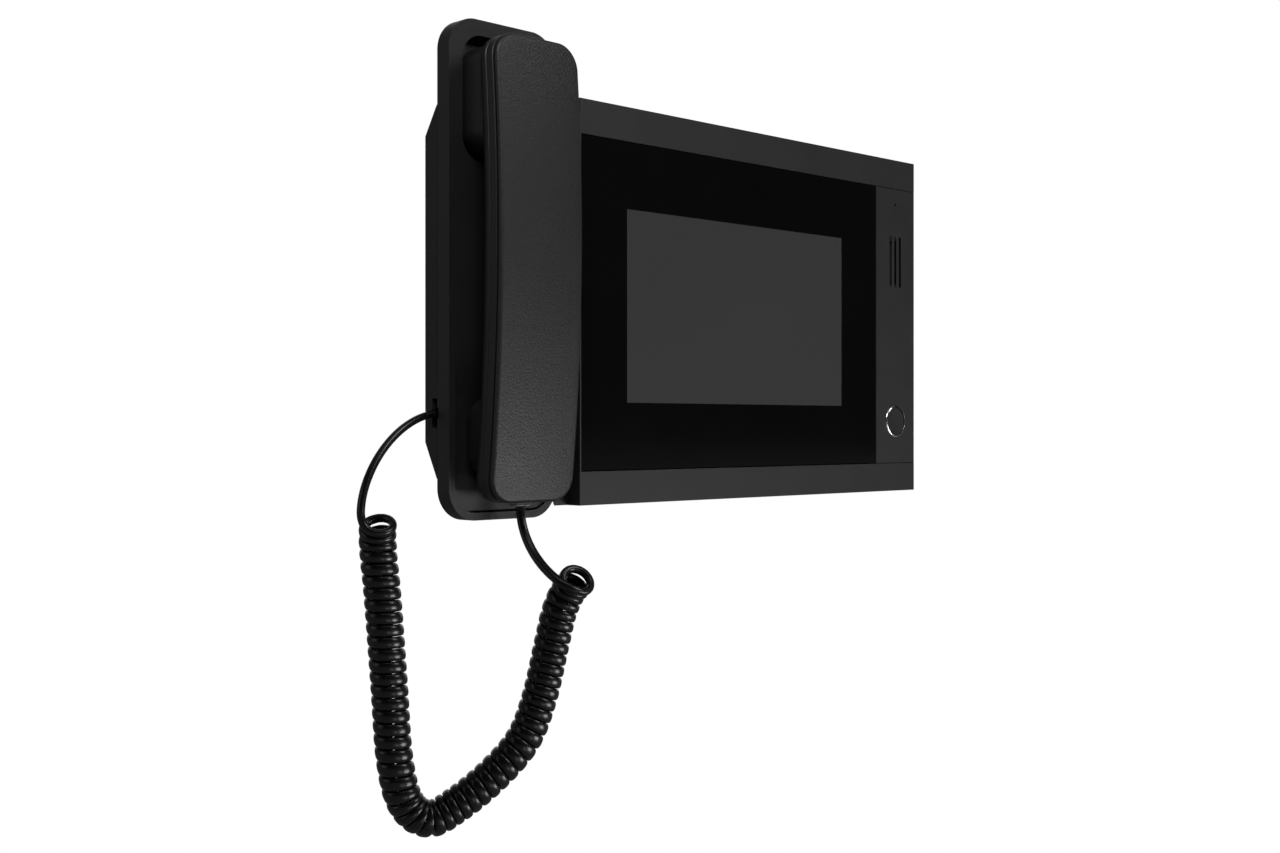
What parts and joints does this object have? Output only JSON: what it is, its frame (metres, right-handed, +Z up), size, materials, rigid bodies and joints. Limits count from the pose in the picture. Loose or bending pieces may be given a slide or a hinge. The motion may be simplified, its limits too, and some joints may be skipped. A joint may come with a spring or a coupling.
{
  "type": "video intercom monitor",
  "caption": "Wall-mounted door intercom monitor with a display behind black glass, a call key, and a corded handset lying in a cradle on its left side.",
  "frame": {"origin": "on the wall plane, at the centre of the wall bracket's back face, behind the centre of the monitor panel", "axes": "+X right along the wall, +Y into the wall, +Z up"},
  "size_m": [0.3533, 0.0522, 0.3301],
  "materials": {
    "steel": "zinc-plated sheet",
    "screw_steel": "zinc-plated",
    "housing_plastic": "fine moulded texture",
    "cradle_plastic": "fine moulded texture",
    "panel_plastic": "fine satin texture",
    "front_glass": "back-printed black glass, polished face",
    "chrome": "polished",
    "key_plastic": "satin",
    "screen": "switched-off display",
    "copper": "tinned",
    "circuit_board": "solder mask",
    "connector_plastic": "moulded",
    "rubber": "moulded",
    "mesh_cloth": "woven",
    "paper": "pressed",
    "cord": "glossy PVC jacket",
    "handset_grain": "pebble grain",
    "handset_smooth": "satin",
    "clear_plastic": "clear polycarbonate"
  },
  "bodies": {
    "base": {"wall_bracket": "steel", "rear_housing": "housing_plastic", "handset_cradle": "cradle_plastic", "front_frame": "panel_plastic", "front_glass": "front_glass", "control_strip": "panel_plastic", "key_ring": "chrome", "lcd_panel": "screen", "lcd_tray": "steel", "display_ribbon": "copper", "main_board": "circuit_board", "board_shield": "steel", "door_connector_1": "connector_plastic", "door_connector_2": "connector_plastic", "power_connector": "connector_plastic", "key_board": "circuit_board", "key_switch_body": "steel", "microphone_boot": "rubber", "microphone_capsule": "steel", "speaker_basket": "steel", "speaker_cone": "paper", "speaker_magnet": "steel", "speaker_gasket": "rubber", "speaker_mesh": "mesh_cloth", "cord_strain_relief": "rubber", "hook_switch": "key_plastic", "hook_spring": "steel", "coiled_cord": "cord", "board_screw_1": "screw_steel", "board_screw_2": "screw_steel", "board_screw_3": "screw_steel", "board_screw_4": "screw_steel", "panel_screw_1": "screw_steel", "panel_screw_2": "screw_steel", "panel_screw_3": "screw_steel", "panel_screw_4": "screw_steel", "cradle_screw_1": "screw_steel", "cradle_screw_2": "screw_steel", "cradle_screw_3": "screw_steel", "cradle_screw_4": "screw_steel"},
    "handset": {"handset_front_cover": "handset_grain", "handset_side_band": "handset_smooth", "handset_rear_shell": "handset_smooth", "ear_speaker_basket": "steel", "ear_speaker_cone": "paper", "ear_speaker_magnet": "steel", "handset_microphone": "steel", "handset_weight": "steel", "cord_jack": "key_plastic", "cord_plug": "clear_plastic", "plug_contacts": "copper", "handset_screw_1": "screw_steel", "handset_screw_2": "screw_steel"},
    "hook": {"hook_plunger": "key_plastic"},
    "call_key": {"call_key_cap": "key_plastic", "switch_actuator": "key_plastic"}
  },
  "joints": [
    {"name": "handset_lift", "type": "slide", "parent": "base", "child": "handset", "axis": [0, -1, 0], "range_m": [0, 0.12], "deforming": ["coiled_cord"]},
    {"name": "hook_plunger_press", "type": "slide", "parent": "base", "child": "hook", "axis": [0, -1, 0], "range_m": [0, 0.004], "deforming": ["hook_spring"]},
    {"name": "call_key_press", "type": "slide", "parent": "base", "child": "call_key", "axis": [0, 1, 0], "range_m": [0, 0.0008]}
  ],
  "couplings": [
    {"joint": "hook_plunger_press", "follows": "handset_lift", "ratio": 0.0333}
  ]
}
